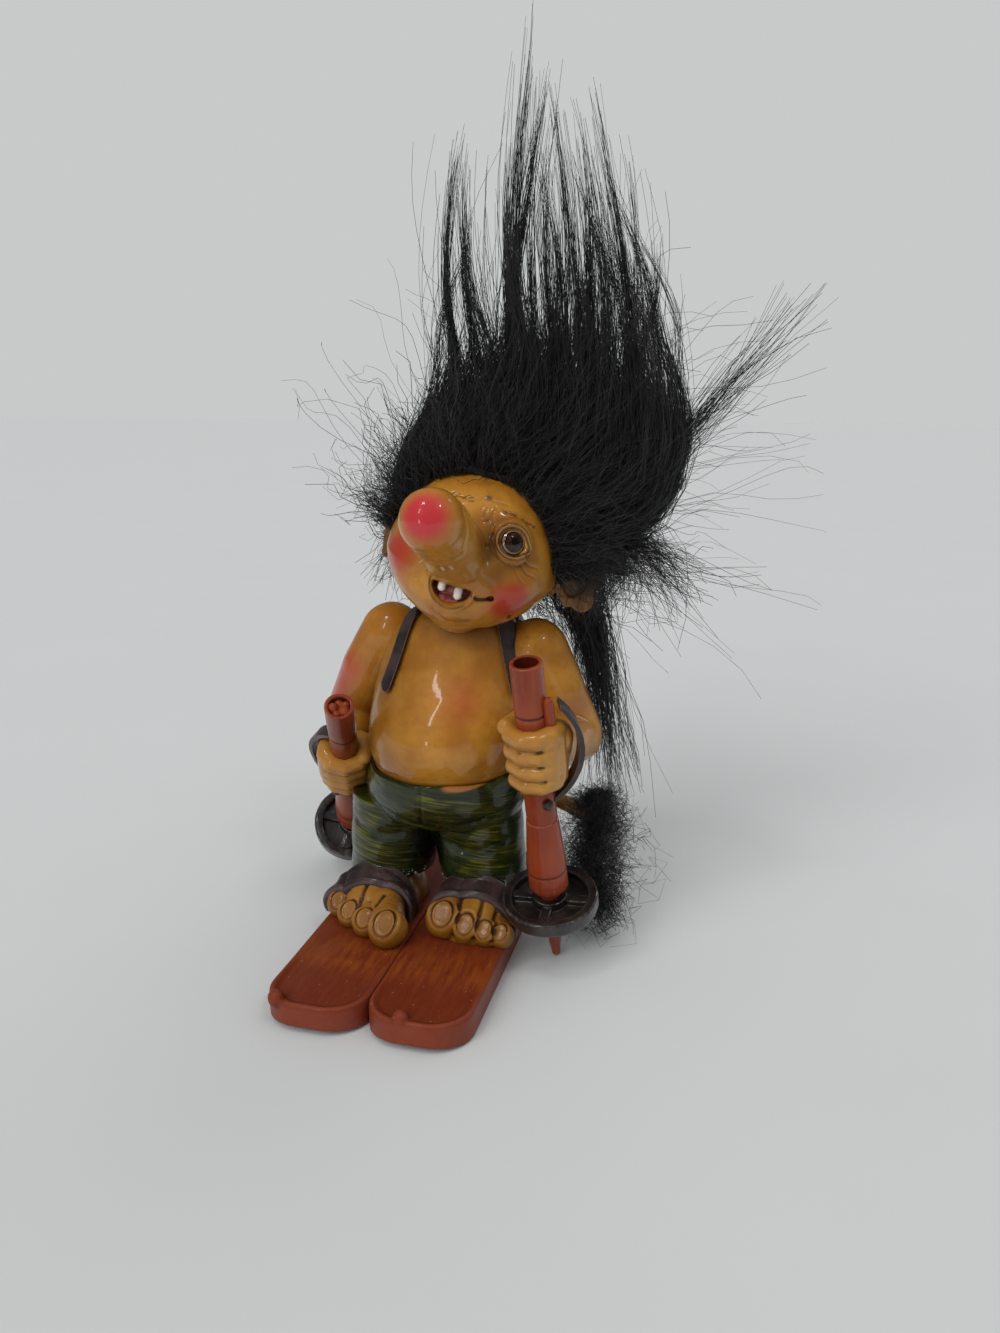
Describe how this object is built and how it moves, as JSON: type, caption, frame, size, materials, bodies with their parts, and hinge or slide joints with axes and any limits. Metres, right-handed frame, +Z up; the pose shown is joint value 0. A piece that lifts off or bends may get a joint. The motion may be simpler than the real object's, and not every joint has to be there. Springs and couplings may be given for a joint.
{
  "type": "skiing troll figurine",
  "caption": "Norwegian folk troll figurine with wild black hair and a long red nose, in green trousers and braces, standing on short red skis with a ski pole in each fist.",
  "frame": {"origin": "on the floor where the inner edges of the skis meet, midway along the figure's stance", "axes": "+Z up, -Y the way the troll faces along the skis, +X its own left hand side"},
  "size_m": [0.1164, 0.0841, 0.1948],
  "materials": {
    "skin": "varnished cast resin, golden tan with brown wash and red blush",
    "trousers": "varnished dark green paint with olive brush streaks",
    "ski": "varnished brick red brown, worn paler along the rim",
    "pole": "varnished orange red with paler edges",
    "basket": "dark brown black, worn grey on the edges",
    "strap": "dark brown painted strap, satin",
    "eye": "polished dark brown glass bead",
    "tooth": "gloss off-white",
    "tongue": "gloss dark pink",
    "hair": "black long-pile synthetic fur"
  },
  "bodies": {
    "root": {"head": "skin", "left_arm": "skin", "left_ear": "skin", "left_foot": "skin", "left_hand": "skin", "right_arm": "skin", "right_ear": "skin", "right_foot": "skin", "right_hand": "skin", "tail": "skin", "torso": "skin", "trousers": "trousers", "left_ski": "ski", "right_ski": "ski", "left_pole_grip": "pole", "left_pole_shaft": "pole", "right_pole_grip": "pole", "right_pole_shaft": "pole", "left_basket": "basket", "right_basket": "basket", "left_binding_strap": "strap", "left_brace": "strap", "left_wrist_strap": "strap", "right_binding_strap": "strap", "right_brace": "strap", "right_wrist_strap": "strap", "left_eye": "eye", "right_eye": "eye", "upper_teeth": "tooth", "tongue": "tongue", "crown_hair": "hair", "left_fall": "hair", "left_low_spray": "hair", "left_spray": "hair", "nape_hair": "hair", "right_temple_lock": "hair", "tail_brush": "hair", "wig_cap": "hair"}
  },
  "joints": []
}
